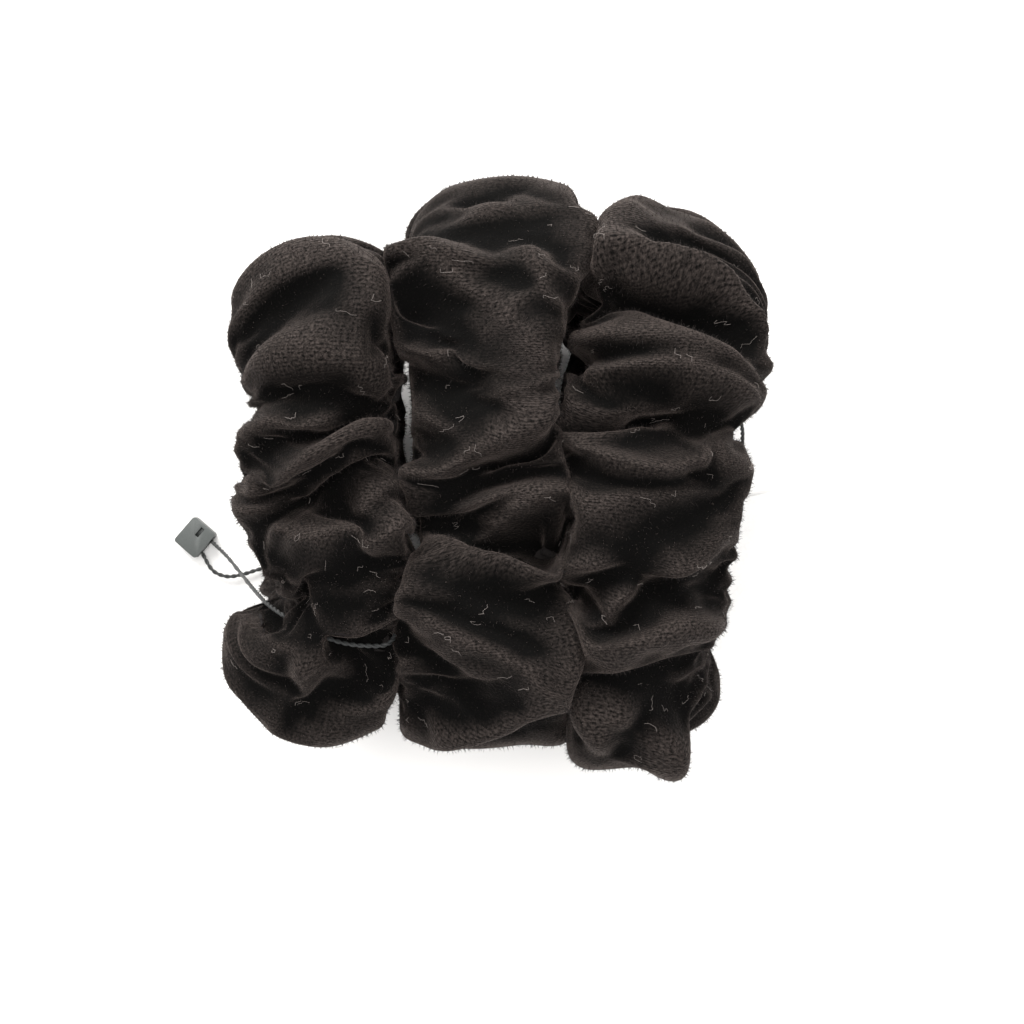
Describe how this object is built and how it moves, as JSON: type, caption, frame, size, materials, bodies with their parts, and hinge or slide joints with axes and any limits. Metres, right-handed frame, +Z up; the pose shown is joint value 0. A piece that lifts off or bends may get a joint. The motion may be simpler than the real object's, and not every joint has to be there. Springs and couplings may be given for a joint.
{
  "type": "scrunchie bundle",
  "caption": "Bundle of gathered velvet scrunchies standing side by side, soft sleeves on elastic loops that stretch round hair, with folded hang cards on sealed cords.",
  "frame": {"origin": "middle of the face that the middle scrunchie rests on", "axes": "+Z up, +X along the row of scrunchies, +Y along their length"},
  "size_m": [0.1836, 0.1358, 0.0789],
  "materials": {
    "velvet": "crushed pile velvet, near black with a warm brown-grey sheen",
    "velvet_band": "the same velvet, folded in and sewn flat",
    "elastic": "braided elastic, matte",
    "seam_allowance": "two layers of the velvet's knitted back, sewn together",
    "thread": "polyester sewing thread",
    "card": "smooth uncoated white card",
    "cord": "waxed two-ply twisted cord",
    "seal": "moulded dark grey plastic",
    "seal_plug": "moulded dark grey plastic"
  },
  "bodies": {
    "left_loop": {"left_cover": "velvet", "left_elastic": "elastic", "left_long_seam": "seam_allowance", "left_tag_cord": "cord", "left_seal_body": "seal", "left_seal_plug": "seal_plug"},
    "left_end": {"left_elastic_lap": "elastic", "left_elastic_stitches": "thread", "left_closing_band": "velvet_band", "left_closing_stitches": "thread"},
    "middle_loop": {"middle_cover": "velvet", "middle_elastic": "elastic", "middle_long_seam": "seam_allowance"},
    "middle_end": {"middle_elastic_lap": "elastic", "middle_elastic_stitches": "thread", "middle_closing_band": "velvet_band", "middle_closing_stitches": "thread"},
    "right_loop": {"right_cover": "velvet", "right_elastic": "elastic", "right_long_seam": "seam_allowance", "right_tag_cord": "cord", "right_seal_body": "seal", "right_seal_plug": "seal_plug"},
    "right_end": {"right_elastic_lap": "elastic", "right_elastic_stitches": "thread", "right_closing_band": "velvet_band", "right_closing_stitches": "thread"},
    "left_card": {"left_tag_card": "card"},
    "right_card": {"right_tag_card": "card"}
  },
  "joints": [
    {"name": "middle_stretch", "type": "slide", "parent": "middle_loop", "child": "middle_end", "axis": [0, 1, 0], "range_m": [0, 0.06], "stiffness_N_per_m": 40, "deforming": ["middle_cover", "middle_elastic", "middle_long_seam"]},
    {"name": "left_pull_off", "type": "slide", "parent": "middle_loop", "child": "left_loop", "axis": [-1, 0, 0], "range_m": [0, 0.09]},
    {"name": "left_stretch", "type": "slide", "parent": "left_loop", "child": "left_end", "axis": [0, 1, 0], "range_m": [0, 0.06], "stiffness_N_per_m": 40, "deforming": ["left_cover", "left_elastic", "left_long_seam"]},
    {"name": "left_tag_swing", "type": "hinge", "parent": "left_loop", "child": "left_card", "pos_m": [-0.0535, -0.0235, 0.00185], "axis": [0, 0, 1], "range_deg": [-25, 25]},
    {"name": "right_pull_off", "type": "slide", "parent": "middle_loop", "child": "right_loop", "axis": [1, 0, 0], "range_m": [0, 0.09]},
    {"name": "right_stretch", "type": "slide", "parent": "right_loop", "child": "right_end", "axis": [0.0698, 0.9976, 0], "range_m": [0, 0.06], "stiffness_N_per_m": 40, "deforming": ["right_cover", "right_elastic", "right_long_seam"]},
    {"name": "right_tag_swing", "type": "hinge", "parent": "right_loop", "child": "right_card", "pos_m": [0.0456, -0.015, 0.00185], "axis": [0, 0, 1], "range_deg": [-12, 25]}
  ]
}
